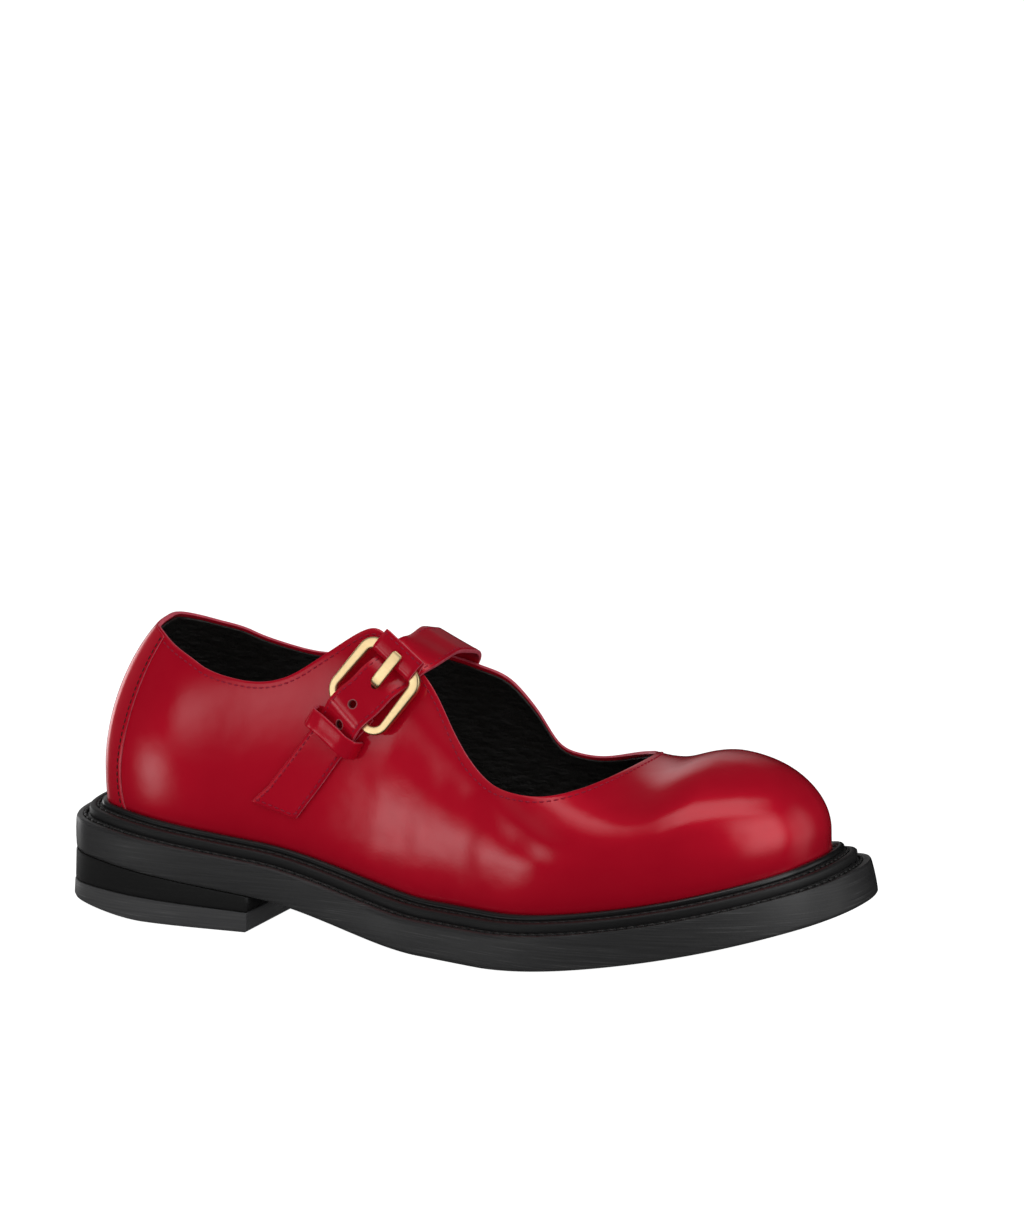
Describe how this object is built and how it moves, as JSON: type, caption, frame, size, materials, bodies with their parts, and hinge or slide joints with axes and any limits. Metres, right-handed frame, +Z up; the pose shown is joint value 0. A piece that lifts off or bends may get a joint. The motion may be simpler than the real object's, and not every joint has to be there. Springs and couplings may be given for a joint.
{
  "type": "mary jane shoe",
  "caption": "Right Mary Jane shoe in polished red leather with a gold buckle strap, a bulbous round toe and a thick black storm-welted rubber sole.",
  "frame": {"origin": "middle of the footprint on the floor", "axes": "+X from heel to toe, +Y towards the inner side of the foot, +Z up"},
  "size_m": [0.2728, 0.111, 0.1009],
  "materials": {
    "black_rubber": "satin black rubber",
    "heel_rubber": "matt black rubber",
    "red_leather": "polished smooth red leather",
    "insole_leather": "matt black leather",
    "gold_metal": "satin-polished gold-coloured metal"
  },
  "bodies": {
    "root": {"outsole": "black_rubber", "heel_block": "heel_rubber", "heel_top_piece": "heel_rubber", "welt": "black_rubber", "storm_rand": "black_rubber", "insole": "insole_leather", "upper": "red_leather", "strap": "red_leather", "buckle_strip": "red_leather", "buckle_frame": "gold_metal", "buckle_prong": "gold_metal", "buckle_tab": "red_leather", "keeper_loop": "red_leather"}
  },
  "joints": []
}
